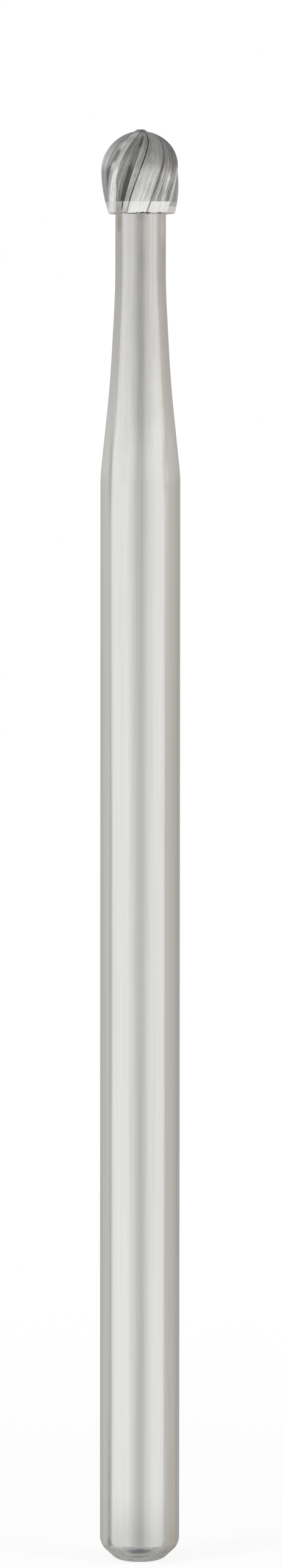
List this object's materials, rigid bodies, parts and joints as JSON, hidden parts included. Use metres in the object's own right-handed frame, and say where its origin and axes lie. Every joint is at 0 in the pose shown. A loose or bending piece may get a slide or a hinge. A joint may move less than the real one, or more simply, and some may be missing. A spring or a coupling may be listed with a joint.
{
  "type": "carbide burr",
  "caption": "Round helically fluted carbide cutting head brazed on a slim steel neck that widens through a long taper into a straight cylindrical shank with a blunt rounded end.",
  "frame": {"origin": "centre of the shank's blunt end, where the burr's axis leaves the steel", "axes": "+Z along the burr's axis from the shank's end to the tip; -Y is the front that the views take first; +X to the right"},
  "size_m": [0.0024, 0.0024, 0.0423],
  "materials": {
    "carbide": "ground tungsten carbide, streaked along the flutes",
    "steel": "ground stainless steel"
  },
  "bodies": {
    "root": {"carbide_head": "carbide", "shank": "steel"}
  },
  "joints": []
}
